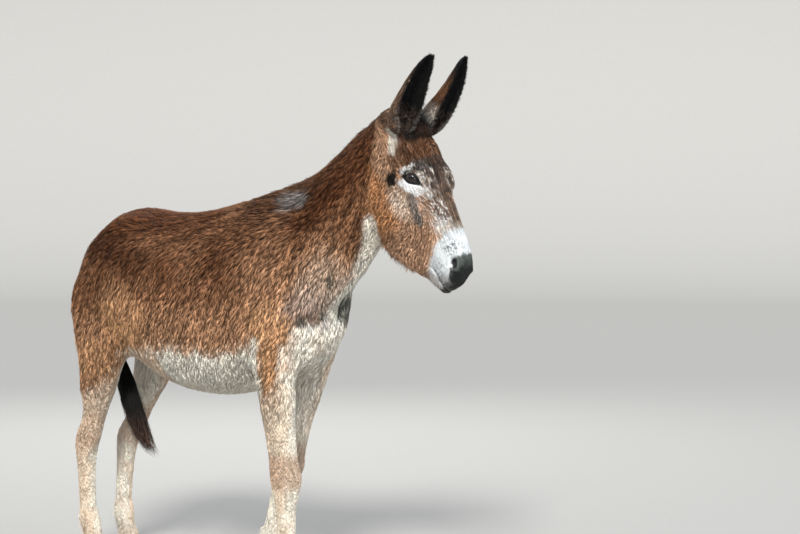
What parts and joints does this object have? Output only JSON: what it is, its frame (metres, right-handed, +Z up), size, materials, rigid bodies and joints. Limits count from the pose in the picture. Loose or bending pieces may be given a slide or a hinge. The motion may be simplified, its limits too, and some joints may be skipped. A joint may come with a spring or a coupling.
{
  "type": "donkey figure",
  "caption": "Life-size standing donkey in a shaggy brown winter coat, head raised and ears pricked, tail swung forward between the hind legs.",
  "frame": {"origin": "middle of the underside of the bounding box, on the ground between the four hooves", "axes": "+X is forward, towards the nose, +Y is the donkey's left side, and +Z is up"},
  "size_m": [1.7158, 0.5294, 1.7631],
  "materials": {
    "coat": "shaggy chestnut brown winter fur",
    "leg_coat": "short cream and pinkish brown fur",
    "muzzle": "very short white and charcoal fur",
    "long_hair": "long dark hair of mane and tail",
    "eye": "wet dark brown eye",
    "hoof": "dull dark horn"
  },
  "bodies": {
    "root": {"ear_left": "coat", "ear_right": "coat", "eye_left": "eye", "eye_right": "eye", "forearm_left": "leg_coat", "forearm_right": "leg_coat", "head": "coat", "hoof_fore_left": "hoof", "hoof_fore_right": "hoof", "hoof_hind_left": "hoof", "hoof_hind_right": "hoof", "mane": "long_hair", "muzzle": "muzzle", "neck": "coat", "pastern_fore_left": "leg_coat", "pastern_fore_right": "leg_coat", "pastern_hind_left": "leg_coat", "pastern_hind_right": "leg_coat", "shank_fore_left": "leg_coat", "shank_fore_right": "leg_coat", "shank_hind_left": "leg_coat", "shank_hind_right": "leg_coat", "tail_dock": "coat", "tail_switch": "long_hair", "thigh_left": "coat", "thigh_right": "coat", "trunk": "coat"}
  },
  "joints": []
}
